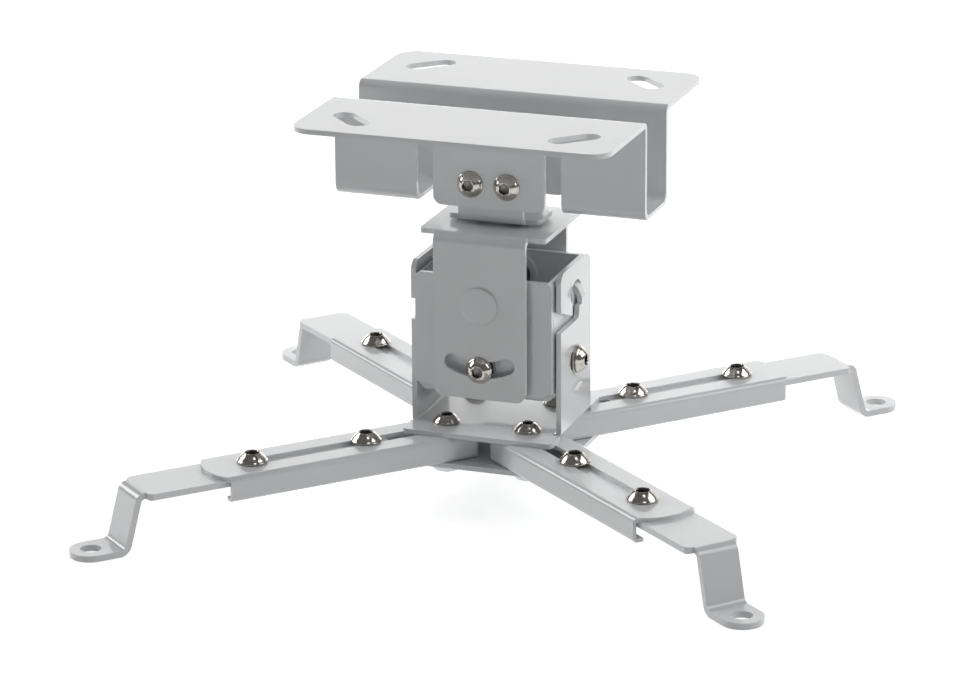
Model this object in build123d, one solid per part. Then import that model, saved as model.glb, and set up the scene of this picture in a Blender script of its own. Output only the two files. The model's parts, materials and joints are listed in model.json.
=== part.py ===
from build123d import *
import os

# Frame: the ceiling face is z = 0, the swivel axis is x = y = 0, the front faces -Y.
# Every size is in millimetres.

# Sheets
sheet = 2.0
bend_inside = 1.0

# Ceiling plate: a hat channel along X with a fixing flange on each side
plate_length = 125.2
plate_width = 124.0
flange_corner = 8.0
channel_width = 28.2
channel_depth = 39.2
channel_bend = 3.0
tab_width = 45.0
tab_corner = 3.5
notch_width = 6.7
notch_top = 14.0
end_corner = 0.8
fixing_pitch_x = 88.4
fixing_pitch_y = 86.4
fixing_travel = 12.5
fixing_width = 8.5
fixing_angle = 45.0

# Swivel bracket: an upward U between the two tabs, with ears on its floor
tab_screw_pitch = 14.7
tab_screw_drop = 30.0
swivel_wall_width = 26.2
swivel_wall_top = -22.0
swivel_floor = -45.9
swivel_bend = 1.5
swivel_ear_span = 37.0
swivel_ear_depth = 16.6
swivel_corner = 1.8

# Swivel joint: bolt, nut and washers on the swivel axis
swivel_bolt_radius = 4.0
swivel_fit = 0.1
swivel_washer_radius = 8.0
swivel_washer_thickness = 1.0
swivel_plain_washer_thickness = 1.6
swivel_hex = 13.0
swivel_nut_height = 6.5
swivel_head_height = 5.3
swivel_thread_end = 1.0

# Tilt yoke: a downward U that straddles the tilt box, with ears on its top
yoke_depth = 51.2
yoke_leg_width = 37.2
yoke_leg_end = -112.3
yoke_bend = 2.0
yoke_ear_span = 51.0
yoke_ear_depth = 43.0
yoke_ear_corner = 1.5
yoke_leg_corner = 4.0

# Tilt axis along Y, and its lock screws in arc slots
tilt_axis_drop = 74.75
tilt_lock_radius = 25.75
tilt_slot_half_angle = 25.3
rivet_radius = 4.0
rivet_fit = 0.1
rivet_head_radius = 7.4
rivet_head_height = 0.9
rivet_head_round = 0.4
rivet_washer_radius = 8.6
rivet_washer_thickness = 1.0
rivet_cap_radius = 5.6
rivet_cap_height = 4.0
rivet_spacer_radius = 7.5

# Tilt box: a tray folded up from one cross-shaped blank
box_length = 55.4
box_depth = 42.2
box_top = -64.6
box_floor = -112.9
box_bend = 1.5
box_seam = 0.3
box_relief = 4.0
box_top_corner = 2.5

# Roll axis along X, through the two hook tongues of the box, and its lock screws in arc slots
roll_axis_drop = 70.5
roll_slot_half_angle = 5.5
roll_slot_width = 8.2
tongue_width = 4.4
tongue_rise = 0.5
tongue_reach = 3.2
tongue_drop = 4.8
tongue_bend = 1.0
window_width = 6.4
window_height = 8.0
side_screw_drop = 100.5
side_washer_radius = 7.0
side_plain_washer_radius = 5.5
side_plain_washer_thickness = 1.0

# Base yoke: an upward U outside the box, on the square floor that clamps the arms
base_span = 61.0
base_wall_depth = 36.0
base_wall_top = -61.7
base_floor_top = -125.9
base_floor_depth = 60.0
base_corner = 2.0
wall_front_corner = 4.0
wall_rear_corner = 6.0
base_relief_width = 1.0
base_relief_depth = 3.2
hook_hole_radius = 6.6
hook_hole_shift = 0.5
hook_hole_centre = -75.4
hook_front_shoulder = -76.1
hook_rear_shoulder = -80.3
hook_neck_half = 4.1
hook_floor = -85.0
hook_mouth_top = -76.3
hook_mouth_inner = -82.0
hook_floor_corner = 2.5

# Arm channels between the base floor and the clamp plate
pivot_x = 16.7
pivot_y = 17.2
channel_sheet = 1.5
arm_width = 26.8
arm_height = 10.0
arm_bend_inside = 0.5
arm_lip = 4.5
arm_back = 8.0
arm_back_corner = 3.0
arm_side_end = 98.0
arm_tip = 102.8
slot_back = 16.0
clamp_length = 64.0
clamp_depth = 62.0
clamp_corner = 4.0

# Sliding bars: flat in the channel, then stepped down to a round foot
bar_thickness = 2.5
bar_side_play = 0.05
bar_back = 25.0
bar_back_corner = 3.0
bar_shoulder = 130.8
bar_shoulder_round = 2.0
leg_width = 16.4
leg_top = 134.5
leg_foot = 140.2
leg_drop = 21.4
leg_bend_top = 4.0
leg_bend_foot = 2.5
foot_hole_reach = 150.5
foot_hole_radius = 4.0
inner_screw_reach = 34.9
outer_screw_reach = 83.2

# M6 button-head screws in two head sizes, and hexagon nuts
screw_radius = 3.0
screw_hole_radius = 3.3
plain_head = {
    "radius": 5.25,
    "height": 3.3,
    "rim": 0.5,
    "flat": 2.8,
    "crown": 0.35,
    "hex": 4.0,
    "socket": 2.0,
}
large_head = {
    "radius": 6.0,
    "height": 3.8,
    "rim": 0.9,
    "flat": 3.3,
    "crown": 0.4,
    "hex": 5.0,
    "socket": 2.2,
}
nut_hex = 10.0
nut_height = 5.0
nut_fit = 0.05
tab_screw_length = 10.0
lock_screw_length = 12.0
pivot_screw_length = 20.0
arm_screw_length = 10.0

# Places worked out from the sizes above
tab_half_gap = channel_width / 2 - sheet
bracket_inside = tab_half_gap - sheet
swivel_floor_top = swivel_floor + sheet
yoke_top = swivel_floor - swivel_washer_thickness
yoke_inside = yoke_depth / 2 - sheet
box_inside_x = box_length / 2 - sheet
box_inside_y = box_depth / 2 - sheet
tilt_gap = yoke_inside - box_depth / 2
tilt_lock_drop = tilt_axis_drop + tilt_lock_radius
wall_inside = base_span / 2 - sheet
side_gap = wall_inside - box_length / 2
roll_lock_radius = side_screw_drop - roll_axis_drop
arm_top = base_floor_top - sheet
arm_floor = arm_top - arm_height
clamp_bottom = arm_floor - sheet
bar_top = arm_top - channel_sheet
bar_bottom = bar_top - bar_thickness
bar_width = arm_width - 2 * (channel_sheet + arm_bend_inside + bar_side_play)
arms = {
    "front_left": (-1, -1, 227.6),
    "front_right": (1, -1, -40.3),
    "back_right": (1, 1, 48.1),
    "back_left": (-1, 1, 139.5),
}


def folded(points, radii, thickness, width, plane, side):
    """One folded strip: the line of one face, thickened to one side and drawn out to a width."""
    face_line = FilletPolyline(*points, radius=radii)
    outline = offset(face_line, thickness, side=side)
    return extrude(plane * make_face(outline.edges()), width / 2, both=True)


def column(outline, plane, reach):
    """A flat outline drawn out both ways, to cut or trim a folded sheet."""
    return extrude(plane * outline, reach, both=True)


def rounded(length, width, radius):
    return RectangleRounded(length, width, radius)


def bore(radius, start, end, direction):
    """A round hole or pin along one axis, from a start to an end coordinate."""
    middle = (start + end) / 2
    turn = {"x": Rot(0, 90, 0), "y": Rot(90, 0, 0), "z": Rot(0, 0, 0)}[direction]
    shift = {"x": Pos(middle, 0, 0), "y": Pos(0, middle, 0), "z": Pos(0, 0, middle)}[direction]
    return shift * turn * Cylinder(radius, abs(end - start))


def ring(outer, inner, height):
    """A washer with its underside at z = 0."""
    return extrude(Circle(outer) - Circle(inner), height)


def button_screw(length, head):
    """A button-head hexagon-socket screw: seat at z = 0, head above it, shank below."""
    top_z = head["height"]
    rim_top = (head["radius"], head["rim"])
    side = Line((head["radius"], 0), rim_top)
    crown = SagittaArc(rim_top, (head["flat"], top_z), head["crown"])
    top = Line((head["flat"], top_z), (0, top_z))
    shank = [(0, top_z), (0, -length), (screw_radius, -length), (screw_radius, 0), (head["radius"], 0)]
    body = revolve(Plane.XZ * make_face([side, crown, top, *Polyline(*shank).edges()]), Axis.Z)
    socket = extrude(RegularPolygon(head["hex"] / 2, 6, major_radius=False), head["socket"] + 1)
    return body - Pos(0, 0, top_z - head["socket"]) * socket


def hex_nut(across_flats, height, bore_radius):
    """A hexagon nut with its seat at z = 0 and its body above it."""
    flat = RegularPolygon(across_flats / 2, 6, major_radius=False) - Circle(bore_radius)
    return extrude(flat, height)


def m6_nut():
    return hex_nut(nut_hex, nut_height, screw_radius + nut_fit)


def ceiling_plate():
    """The hat channel, its floor cut away in the middle so that two tabs hang free."""
    half = channel_width / 2 - sheet
    top_face = [
        (-plate_width / 2, 0),
        (-half, 0),
        (-half, sheet - channel_depth),
        (half, sheet - channel_depth),
        (half, 0),
        (plate_width / 2, 0),
    ]
    bends = [bend_inside + sheet, channel_bend, channel_bend, bend_inside + sheet]
    hat = folded(top_face, bends, sheet, plate_length, Plane.YZ, Side.RIGHT)
    notch_start = tab_width / 2 + notch_width
    end_length = plate_length / 2 - notch_start
    end_shape = fillet(Rectangle(end_length, channel_depth).vertices().sort_by(Axis.Y)[:2], end_corner)
    front_view = Pos(0, -notch_top / 2) * Rectangle(plate_length, notch_top)
    ends_at = (notch_start + plate_length / 2) / 2
    for sx in (-1, 1):
        front_view = front_view + Pos(sx * ends_at, -channel_depth / 2) * end_shape
    hat = hat & column(front_view, Plane.XZ, plate_width)
    tab_height = channel_depth - notch_top
    tab_shape = fillet(Rectangle(tab_width, tab_height).vertices().sort_by(Axis.Y)[:2], tab_corner)
    tab = extrude(Plane.XZ * (Pos(0, -notch_top - tab_height / 2) * tab_shape), sheet / 2, both=True)
    tab_gap = channel_width / 2 - sheet / 2
    hat = hat + Pos(0, tab_gap, 0) * tab + Pos(0, -tab_gap, 0) * tab
    plan = rounded(plate_length, plate_width, flange_corner)
    for sx in (-1, 1):
        for sy in (-1, 1):
            slot = SlotCenterToCenter(fixing_travel, fixing_width)
            spot = Pos(sx * fixing_pitch_x / 2, sy * fixing_pitch_y / 2)
            plan = plan - spot * Rot(0, 0, -sx * sy * fixing_angle) * slot
    hat = hat & column(plan, Plane.XY, channel_depth + 1)
    for sx in (-1, 1):
        hole = bore(screw_hole_radius, -channel_width, channel_width, "y")
        hat = hat - Pos(sx * tab_screw_pitch / 2, 0, -tab_screw_drop) * hole
    return hat


def swivel_bracket():
    """The upward U that the tabs hold, with two ears on its floor."""
    outside = [
        (-tab_half_gap, swivel_wall_top),
        (-tab_half_gap, swivel_floor),
        (tab_half_gap, swivel_floor),
        (tab_half_gap, swivel_wall_top),
    ]
    bend = swivel_bend + sheet
    bracket = folded(outside, [bend, bend], sheet, swivel_wall_width, Plane.YZ, Side.LEFT)
    height = swivel_wall_top - swivel_floor
    wall = fillet(Rectangle(swivel_wall_width, height).vertices().sort_by(Axis.Y)[2:], swivel_corner)
    bracket = bracket & column(Pos(0, swivel_floor + height / 2) * wall, Plane.XZ, channel_width)
    ears = extrude(rounded(swivel_ear_span, swivel_ear_depth, swivel_corner), sheet)
    bracket = bracket + Pos(0, 0, swivel_floor) * ears
    bracket = bracket - bore(swivel_bolt_radius + swivel_fit, swivel_floor - 1, swivel_floor_top + 1, "z")
    for sx in (-1, 1):
        hole = bore(screw_hole_radius, -channel_width, channel_width, "y")
        bracket = bracket - Pos(sx * tab_screw_pitch / 2, 0, -tab_screw_drop) * hole
    return bracket


def facing(sign):
    """Turns a part built along +Z so that it points to the front or to the back."""
    return Rot(-90 * sign, 0, 0)


def sideways(sign):
    """Turns a part built along +Z so that it points to the left or to the right."""
    return Rot(0, 90 * sign, 0)


def tab_fasteners():
    """Two screws and two nuts through each tab and bracket wall."""
    screws = []
    nuts = []
    for sy in (-1, 1):
        for sx in (-1, 1):
            x = sx * tab_screw_pitch / 2
            outside = Pos(x, sy * channel_width / 2, -tab_screw_drop) * facing(sy)
            inside = Pos(x, sy * bracket_inside, -tab_screw_drop) * facing(-sy)
            screws.append(outside * button_screw(tab_screw_length, plain_head))
            nuts.append(inside * m6_nut())
    return {"tab_screws": screws, "tab_nuts": nuts}


def swivel_fasteners():
    """The bolt on the swivel axis, from the yoke's underside up to the nut in the bracket."""
    washer = ring(swivel_washer_radius, swivel_bolt_radius + swivel_fit, swivel_washer_thickness)
    plain = ring(swivel_washer_radius, swivel_bolt_radius + swivel_fit, swivel_plain_washer_thickness)
    seat = yoke_top - sheet - swivel_plain_washer_thickness
    tip = swivel_floor_top + swivel_nut_height + swivel_thread_end
    head = extrude(RegularPolygon(swivel_hex / 2, 6, major_radius=False), -swivel_head_height)
    bolt = Pos(0, 0, seat) * head + bore(swivel_bolt_radius, seat, tip, "z")
    nut = hex_nut(swivel_hex, swivel_nut_height, swivel_bolt_radius + nut_fit)
    return {
        "swivel_slip_washer": Pos(0, 0, yoke_top) * washer,
        "swivel_plain_washer": Pos(0, 0, seat) * plain,
        "swivel_bolt": bolt,
        "swivel_nut": Pos(0, 0, swivel_floor_top) * nut,
    }


def arc_slot(radius, half_angle, width):
    """An arc slot below the origin, centred on it."""
    return Rot(0, 0, -90) * SlotArc(CenterArc((0, 0), radius, -half_angle, 2 * half_angle), width)


def tilt_yoke():
    """The downward U with the rivet holes and the two tilt slots."""
    half = yoke_depth / 2
    outside = [(-half, yoke_leg_end), (-half, yoke_top), (half, yoke_top), (half, yoke_leg_end)]
    bend = yoke_bend + sheet
    yoke = folded(outside, [bend, bend], sheet, yoke_leg_width, Plane.YZ, Side.RIGHT)
    height = yoke_top - yoke_leg_end
    leg = fillet(Rectangle(yoke_leg_width, height).vertices().sort_by(Axis.Y)[:2], yoke_leg_corner)
    leg = Pos(0, yoke_leg_end + height / 2) * leg
    leg = leg - Pos(0, -tilt_axis_drop) * Circle(rivet_radius + rivet_fit)
    slot = arc_slot(tilt_lock_radius, tilt_slot_half_angle, 2 * screw_hole_radius)
    leg = leg - Pos(0, -tilt_axis_drop) * slot
    yoke = yoke & column(leg, Plane.XZ, yoke_depth)
    ears = extrude(rounded(yoke_ear_span, yoke_ear_depth, yoke_ear_corner), -sheet)
    yoke = yoke + Pos(0, 0, yoke_top) * ears
    return yoke - bore(swivel_bolt_radius + swivel_fit, yoke_top - sheet - 1, yoke_top + 1, "z")


def tilt_rivet(sign):
    """A flat painted rivet head outside the leg, its shank through leg, spacer and box wall."""
    inner_end = box_inside_y - rivet_washer_thickness - rivet_cap_height / 2
    shank = extrude(Circle(rivet_radius), -(yoke_depth / 2 - inner_end))
    head = extrude(Circle(rivet_head_radius), rivet_head_height)
    head = fillet(head.edges().filter_by(GeomType.CIRCLE).sort_by(Axis.Z)[-1], rivet_head_round)
    return Pos(0, sign * yoke_depth / 2, -tilt_axis_drop) * facing(sign) * (head + shank)


def tilt_pivot(sign, side_name):
    """The rivet with its spacer, washer and black end cap."""
    at_gap = Pos(0, sign * box_depth / 2, -tilt_axis_drop) * facing(sign)
    inside = Pos(0, sign * box_inside_y, -tilt_axis_drop) * facing(-sign)
    spacer = ring(rivet_spacer_radius, rivet_radius + rivet_fit, tilt_gap)
    washer = ring(rivet_washer_radius, rivet_radius + rivet_fit, rivet_washer_thickness)
    cap = extrude(Circle(rivet_cap_radius), rivet_cap_height)
    cap = cap - extrude(Circle(rivet_radius + nut_fit), rivet_cap_height / 2)
    return {
        f"tilt_rivet_{side_name}": tilt_rivet(sign),
        f"tilt_spacer_{side_name}": at_gap * spacer,
        f"rivet_washer_{side_name}": inside * washer,
        f"rivet_cap_{side_name}": inside * Pos(0, 0, rivet_washer_thickness) * cap,
    }


def tilt_lock(sign, side_name):
    """The lock screw in the arc slot, its spacer sleeve and the nut inside the box."""
    at_leg = Pos(0, sign * yoke_depth / 2, -tilt_lock_drop) * facing(sign)
    at_box = Pos(0, sign * box_depth / 2, -tilt_lock_drop) * facing(sign)
    inside = Pos(0, sign * box_inside_y, -tilt_lock_drop) * facing(-sign)
    return {
        f"tilt_lock_screw_{side_name}": at_leg * button_screw(lock_screw_length, plain_head),
        f"tilt_lock_sleeve_{side_name}": at_box * ring(plain_head["radius"], screw_hole_radius, tilt_gap),
        f"tilt_lock_nut_{side_name}": inside * m6_nut(),
    }


def hook_tongue():
    """A tongue lanced from the right wall of the box: out through the yoke, then down."""
    top = -roll_axis_drop + tongue_rise
    out = base_span / 2 + tongue_reach
    path = [
        (box_inside_x + sheet / 2, top),
        (base_span / 2 + tongue_bend, top),
        (out, top - tongue_drop),
    ]
    return folded(path, [tongue_bend + sheet], sheet, tongue_width, Plane.XZ, Side.RIGHT)


def tilt_box():
    """The folded tray: floor and four walls, open seams at the corners, hook tongues at the sides."""
    height = box_top - box_floor
    shell = Pos(0, 0, box_floor + height / 2) * Box(box_length, box_depth, height)
    shell = fillet(shell.faces().sort_by(Axis.Z)[0].edges(), box_bend + sheet)
    inner = Pos(0, 0, box_floor + sheet + height / 2) * Box(2 * box_inside_x, 2 * box_inside_y, height)
    inner = fillet(inner.faces().sort_by(Axis.Z)[0].edges(), box_bend)
    box = shell - inner
    seam = Box(sheet + 1, box_seam, height + sheet)
    for sx in (-1, 1):
        for sy in (-1, 1):
            seam_x = sx * (box_inside_x + (sheet + 1) / 2)
            seam_y = sy * (box_inside_y - box_seam / 2)
            box = box - Pos(seam_x, seam_y, box_floor + sheet + height / 2) * seam
            box = box - Pos(sx * box_length / 2, sy * box_depth / 2, box_floor) * Sphere(box_relief)
    front = Pos(0, box_floor + height / 2) * Rectangle(box_length, height)
    front = fillet(front.vertices().sort_by(Axis.Y)[2:], box_top_corner)
    front = front - Pos(0, -tilt_axis_drop) * Circle(rivet_radius + rivet_fit)
    front = front - Pos(0, -tilt_lock_drop) * Circle(screw_hole_radius)
    box = box & column(front, Plane.XZ, box_depth)
    lock_hole = Pos(0, -side_screw_drop) * Circle(screw_hole_radius)
    window_top = -roll_axis_drop + tongue_rise
    window = Pos(0, window_top - window_height / 2) * Rectangle(window_width, window_height)
    box = box - column(lock_hole + window, Plane.YZ, box_length)
    return box + hook_tongue() + mirror(hook_tongue(), Plane.YZ)


def base_wall_outline():
    """The side view of one base wall, with the hook slot and the roll slot cut in it."""
    bottom = base_floor_top - sheet
    height = base_wall_top - bottom
    half = base_wall_depth / 2
    wall = Pos(0, bottom + height / 2) * Rectangle(base_wall_depth, height)
    wall = fillet(wall.vertices().sort_by(Axis.Y)[2:].sort_by(Axis.X)[0], wall_front_corner)
    wall = fillet(wall.vertices().sort_by(Axis.X)[-2:].sort_by(Axis.Y)[-1], wall_rear_corner)
    hole = Pos(hook_hole_shift, hook_hole_centre) * Circle(hook_hole_radius)
    above = Pos(0, hook_front_shoulder + height / 2) * Rectangle(base_wall_depth, height)
    rear = hook_hole_shift + hook_hole_radius
    throat_width = rear + hook_neck_half
    throat_height = hook_hole_centre - hook_rear_shoulder
    throat = Rectangle(throat_width, throat_height)
    throat = Pos(rear - throat_width / 2, hook_hole_centre - throat_height / 2) * throat
    hole = (hole & above) + throat
    neck_height = hook_front_shoulder - hook_floor
    neck = Pos(0, hook_floor + neck_height / 2) * Rectangle(2 * hook_neck_half, neck_height)
    neck = fillet(neck.vertices().sort_by(Axis.Y)[:2].sort_by(Axis.X)[-1], hook_floor_corner)
    mouth_points = [
        (-half - 1, hook_mouth_top),
        (-hook_neck_half, hook_mouth_inner),
        (-hook_neck_half + hook_floor_corner, hook_floor),
        (-half - 1, hook_floor),
    ]
    mouth = make_face(Polyline(*mouth_points, close=True).edges())
    slot = Pos(0, -roll_axis_drop) * arc_slot(roll_lock_radius, roll_slot_half_angle, roll_slot_width)
    return wall - hole - neck - mouth - slot


def base_yoke():
    """The upward U with its floor drawn out in front of and behind the walls."""
    half = base_span / 2
    bottom = base_floor_top - sheet
    outside = [(-half, base_wall_top), (-half, bottom), (half, bottom), (half, base_wall_top)]
    bend = bend_inside + sheet
    yoke = folded(outside, [bend, bend], sheet, base_wall_depth, Plane.XZ, Side.LEFT)
    yoke = yoke & column(base_wall_outline(), Plane.YZ, base_span)
    floor = extrude(rounded(base_span, base_floor_depth, base_corner), sheet)
    keep = Box(base_span - 2 * bend, base_wall_depth, 3 * sheet)
    flaps = floor - Box(base_span + 1, base_wall_depth, 3 * sheet) + (floor & keep)
    for sx in (-1, 1):
        for sy in (-1, 1):
            relief = Box(2 * base_relief_depth, base_relief_width, 3 * sheet)
            spot = Pos(sx * half, sy * (base_wall_depth + base_relief_width) / 2, 0)
            flaps = flaps - spot * relief
    yoke = yoke + Pos(0, 0, bottom) * flaps
    for sx in (-1, 1):
        for sy in (-1, 1):
            hole = bore(screw_hole_radius, bottom - 1, base_floor_top + 1, "z")
            yoke = yoke - Pos(sx * pivot_x, sy * pivot_y, 0) * hole
    return yoke


def side_lock(sign, side_name):
    """The side lock screw through the roll slot and the box, with a washer on each side of the wall."""
    at_wall = Pos(sign * base_span / 2, 0, -side_screw_drop) * sideways(sign)
    at_head = at_wall * Pos(0, 0, side_plain_washer_thickness)
    at_box = Pos(sign * box_length / 2, 0, -side_screw_drop) * sideways(sign)
    at_inside = Pos(sign * box_inside_x, 0, -side_screw_drop) * sideways(-sign)
    plain = ring(side_plain_washer_radius, screw_radius + nut_fit, side_plain_washer_thickness)
    slip = ring(side_washer_radius, screw_radius + nut_fit, side_gap)
    return {
        f"side_lock_screw_{side_name}": at_head * button_screw(lock_screw_length, plain_head),
        f"side_lock_plain_washer_{side_name}": at_wall * plain,
        f"side_lock_washer_{side_name}": at_box * slip,
        f"side_lock_nut_{side_name}": at_inside * m6_nut(),
    }


def clamp_plate():
    """The flat plate under the four channels."""
    plan = rounded(clamp_length, clamp_depth, clamp_corner)
    for sx in (-1, 1):
        for sy in (-1, 1):
            plan = plan - Pos(sx * pivot_x, sy * pivot_y) * Circle(screw_hole_radius)
    return Pos(0, 0, clamp_bottom) * extrude(plan, sheet)


def pivot_fasteners():
    """The four screws that the arms swing on, and their nuts under the clamp plate."""
    screws = []
    nuts = []
    for sx, sy, _ in arms.values():
        screw = button_screw(pivot_screw_length, plain_head)
        screws.append(Pos(sx * pivot_x, sy * pivot_y, base_floor_top) * screw)
        nuts.append(Pos(sx * pivot_x, sy * pivot_y, clamp_bottom - nut_height) * m6_nut())
    return {"pivot_screws": screws, "pivot_nuts": nuts}


def arm_channel():
    """A lipped channel along X with a convex tip, its pivot hole and its long slot."""
    half = arm_width / 2
    outside = [
        (arm_lip - half, -arm_height),
        (-half, -arm_height),
        (-half, 0),
        (half, 0),
        (half, -arm_height),
        (half - arm_lip, -arm_height),
    ]
    bend = arm_bend_inside + channel_sheet
    section = folded(outside, [bend] * 4, channel_sheet, 2 * arm_tip, Plane.YZ, Side.RIGHT)
    length = arm_back + arm_side_end
    body = Pos(length / 2 - arm_back, 0) * Rectangle(length, arm_width)
    body = fillet(body.vertices().sort_by(Axis.X)[:2], arm_back_corner)
    tip_arc = ThreePointArc((arm_side_end, -half), (arm_tip, 0), (arm_side_end, half))
    tip = make_face([tip_arc, Line((arm_side_end, half), (arm_side_end, -half))])
    slot_length = outer_screw_reach - slot_back
    slot = Pos(slot_back + slot_length / 2, 0) * SlotCenterToCenter(slot_length, 2 * screw_hole_radius)
    plan = body + tip - slot - Circle(screw_hole_radius)
    lower = Pos(0, 0, -arm_height) * extrude(body, arm_height - bend)
    upper = Pos(0, 0, -bend) * extrude(plan, bend)
    return section & (lower + upper)


def sliding_bar():
    """A flat bar that steps down at its end to a round foot with a hole."""
    foot_end = foot_hole_reach + leg_width / 2
    top_face = [(bar_back, 0), (leg_top, 0), (leg_foot, -leg_drop), (foot_end, -leg_drop)]
    bends = [leg_bend_top, leg_bend_foot]
    bar = folded(top_face, bends, bar_thickness, bar_width, Plane.XZ, Side.RIGHT)
    flat_length = bar_shoulder - bar_back
    flat = Pos(bar_back + flat_length / 2, 0) * Rectangle(flat_length, bar_width)
    flat = fillet(flat.vertices().sort_by(Axis.X)[:2], bar_back_corner)
    flat = fillet(flat.vertices().sort_by(Axis.X)[-2:], bar_shoulder_round)
    leg_length = foot_hole_reach - inner_screw_reach
    leg = Pos(inner_screw_reach + leg_length / 2, 0) * Rectangle(leg_length, leg_width)
    plan = flat + leg + Pos(foot_hole_reach, 0) * Circle(leg_width / 2)
    plan = plan - Pos(foot_hole_reach, 0) * Circle(foot_hole_radius)
    for reach in (inner_screw_reach, outer_screw_reach):
        plan = plan - Pos(reach, 0) * Circle(screw_radius + nut_fit)
    return bar & column(plan, Plane.XY, 2 * leg_drop)


def arm_parts(name):
    """One arm in its place: channel, bar, and the two screws and nuts that ride with the bar."""
    sx, sy, angle = arms[name]
    at_top = Pos(sx * pivot_x, sy * pivot_y, arm_top) * Rot(0, 0, angle)
    at_bar = Pos(sx * pivot_x, sy * pivot_y, bar_top) * Rot(0, 0, angle)
    at_nut = Pos(sx * pivot_x, sy * pivot_y, bar_bottom - nut_height) * Rot(0, 0, angle)
    reaches = (inner_screw_reach, outer_screw_reach)
    screw = button_screw(arm_screw_length, large_head)
    return {
        f"arm_channel_{name}": at_top * arm_channel(),
        f"arm_bar_{name}": at_bar * sliding_bar(),
        f"arm_screws_{name}": [at_top * Pos(reach, 0, 0) * screw for reach in reaches],
        f"arm_nuts_{name}": [at_nut * Pos(reach, 0, 0) * m6_nut() for reach in reaches],
    }


def all_parts():
    parts = {
        "ceiling_plate": ceiling_plate(),
        "swivel_bracket": swivel_bracket(),
        "tilt_yoke": tilt_yoke(),
        "tilt_box": tilt_box(),
        "base_yoke": base_yoke(),
        "clamp_plate": clamp_plate(),
    }
    parts.update(tab_fasteners())
    parts.update(swivel_fasteners())
    for sign, side_name in ((-1, "front"), (1, "rear")):
        parts.update(tilt_pivot(sign, side_name))
        parts.update(tilt_lock(sign, side_name))
    for sign, side_name in ((-1, "left"), (1, "right")):
        parts.update(side_lock(sign, side_name))
    parts.update(pivot_fasteners())
    for name in arms:
        parts.update(arm_parts(name))
    return parts


os.makedirs("parts", exist_ok=True)
for node, shape in all_parts().items():
    if isinstance(shape, list):
        solids = [solid for piece in shape for solid in piece.solids()]
        shape = Compound(children=solids)
    export_step(shape, f"parts/{node}.step")
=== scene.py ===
import json
import math

import bmesh
import bpy
from bpy.props import FloatProperty, FloatVectorProperty, IntProperty, PointerProperty
from bpy.types import Operator, Panel, PropertyGroup
from mathutils import Matrix, Vector


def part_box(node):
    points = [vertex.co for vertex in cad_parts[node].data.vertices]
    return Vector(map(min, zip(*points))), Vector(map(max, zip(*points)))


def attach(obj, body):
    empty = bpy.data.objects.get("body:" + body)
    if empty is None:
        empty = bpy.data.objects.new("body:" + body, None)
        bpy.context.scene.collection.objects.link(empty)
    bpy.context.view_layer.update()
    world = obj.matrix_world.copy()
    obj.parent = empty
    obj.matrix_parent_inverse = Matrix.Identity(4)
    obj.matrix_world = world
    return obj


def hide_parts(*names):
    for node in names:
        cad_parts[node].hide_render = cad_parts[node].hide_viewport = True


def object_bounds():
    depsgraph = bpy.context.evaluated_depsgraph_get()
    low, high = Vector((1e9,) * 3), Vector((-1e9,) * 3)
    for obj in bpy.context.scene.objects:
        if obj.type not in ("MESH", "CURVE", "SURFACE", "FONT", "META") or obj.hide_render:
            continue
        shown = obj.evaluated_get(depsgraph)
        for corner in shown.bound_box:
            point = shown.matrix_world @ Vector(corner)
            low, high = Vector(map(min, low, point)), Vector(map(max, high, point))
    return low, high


bl_info = {
    "name": "Projector Ceiling Mount",
    "version": (1, 0, 0),
    "blender": (4, 5, 0),
    "location": "3D View > Sidebar > Mount",
    "description": "Finishes, fasteners and studio of a folded steel projector ceiling mount",
    "category": "Object",
}

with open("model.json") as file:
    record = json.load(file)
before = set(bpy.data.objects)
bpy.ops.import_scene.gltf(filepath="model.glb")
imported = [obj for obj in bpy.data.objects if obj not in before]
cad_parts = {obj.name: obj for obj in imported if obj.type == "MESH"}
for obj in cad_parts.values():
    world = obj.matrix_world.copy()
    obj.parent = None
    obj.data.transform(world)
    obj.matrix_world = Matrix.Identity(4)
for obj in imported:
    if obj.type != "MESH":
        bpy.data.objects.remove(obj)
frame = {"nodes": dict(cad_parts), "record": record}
cad_low, cad_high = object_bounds()

MILLIMETRE = 0.001
BODY_OF = {
    node: body
    for body, nodes in frame["record"]["behaviour"]["bodies"].items()
    for node in nodes
}
ARMS = ("front_left", "front_right", "back_right", "back_left")
SIDES = ("left", "right")
ENDS = ("front", "rear")

# Everything that is coated: the folded and punched sheets, and the washer rings on the rivets
PAINTED = (
    ["ceiling_plate", "swivel_bracket", "tilt_yoke", "tilt_box", "base_yoke", "clamp_plate"]
    + [f"arm_channel_{arm}" for arm in ARMS]
    + [f"arm_bar_{arm}" for arm in ARMS]
    + [f"rivet_washer_{end}" for end in ENDS]
)

# Button-head screws: the axis that each set lies along, and its size of head
SCREW_SETS = {"tab_screws": ("y", "plain"), "pivot_screws": ("z", "plain")}
SCREW_SETS.update({f"tilt_lock_screw_{end}": ("y", "plain") for end in ENDS})
SCREW_SETS.update({f"side_lock_screw_{side}": ("x", "plain") for side in SIDES})
SCREW_SETS.update({f"arm_screws_{arm}": ("z", "large") for arm in ARMS})

# Hexagon nuts, and the axis that each set lies along
NUT_SETS = {"tab_nuts": "y", "pivot_nuts": "z", "swivel_nut": "z"}
NUT_SETS.update({f"tilt_lock_nut_{end}": "y" for end in ENDS})
NUT_SETS.update({f"side_lock_nut_{side}": "x" for side in SIDES})
NUT_SETS.update({f"arm_nuts_{arm}": "z" for arm in ARMS})

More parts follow.
